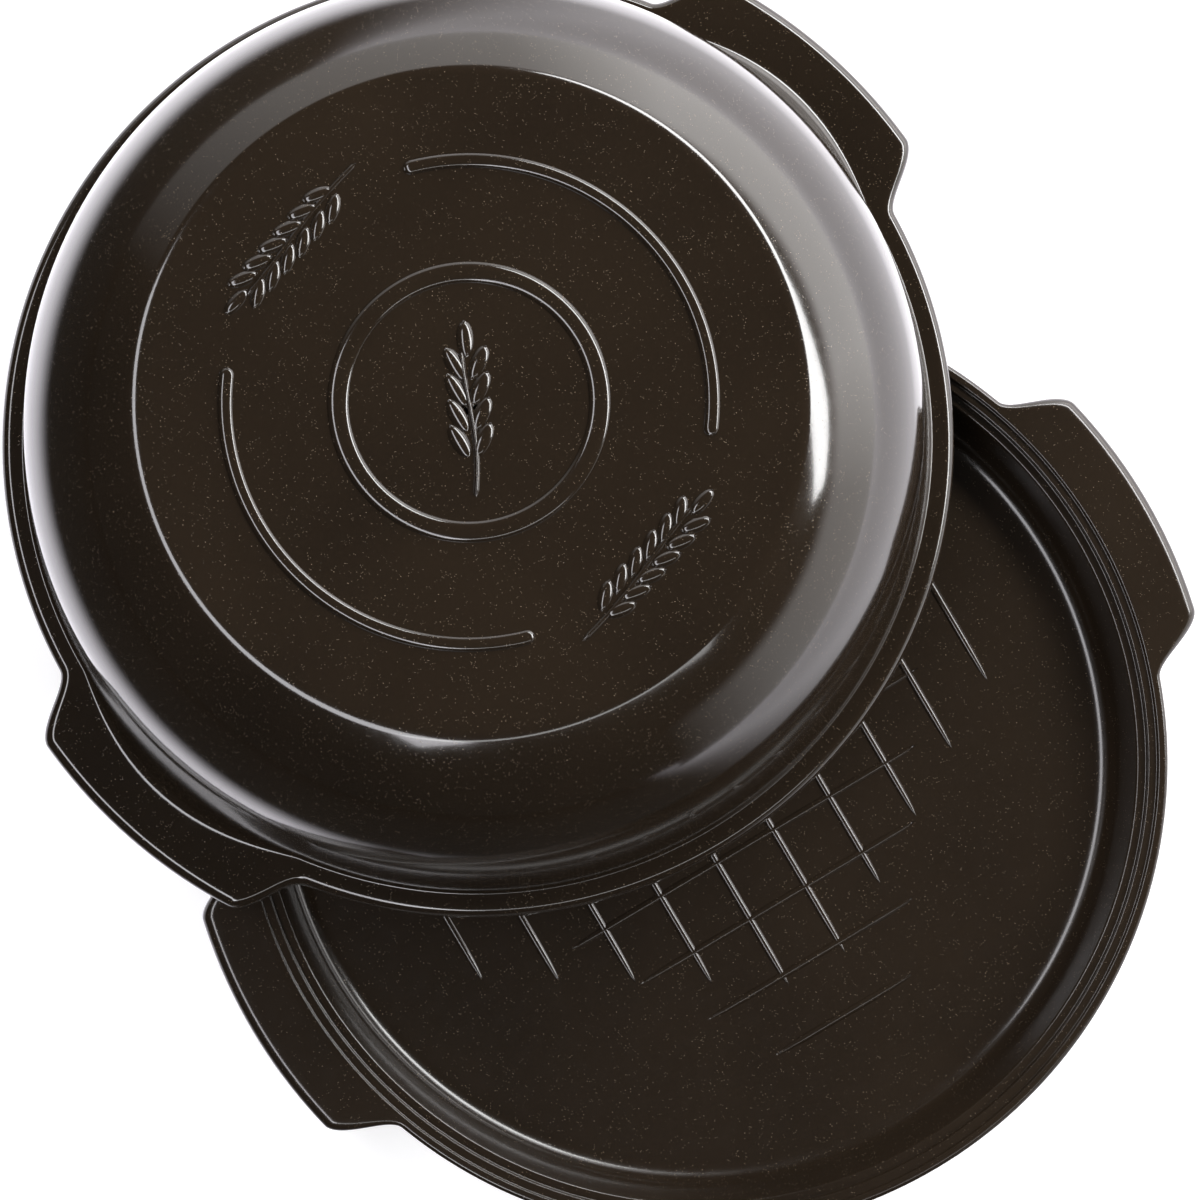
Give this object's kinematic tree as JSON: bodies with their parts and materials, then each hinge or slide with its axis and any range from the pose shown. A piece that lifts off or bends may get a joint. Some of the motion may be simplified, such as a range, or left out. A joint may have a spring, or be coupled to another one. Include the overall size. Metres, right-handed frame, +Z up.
{
  "type": "bread cloche",
  "caption": "Round glazed ceramic bread cloche: low dish with grips and ridged floor, and a tall domed cover with grips, lifted off and tipped against the dish.",
  "frame": {"origin": "centre of the dish's foot ring, on the surface that the dish stands on", "axes": "+Z up; +X through the dish's grips; +Y towards the side on which the tipped cover stands"},
  "size_m": [0.3371, 0.4174, 0.151],
  "materials": {
    "dish_glaze": "glossy speckled dark brown glaze",
    "dome_glaze": "glossy speckled dark brown glaze"
  },
  "bodies": {
    "dish": {"dish": "dish_glaze"},
    "dome": {"dome": "dome_glaze"}
  },
  "joints": [
    {"name": "dome_lift", "type": "slide", "parent": "dish", "child": "dome", "axis": [0, 0, 1], "range_m": [0, 0.2]}
  ]
}
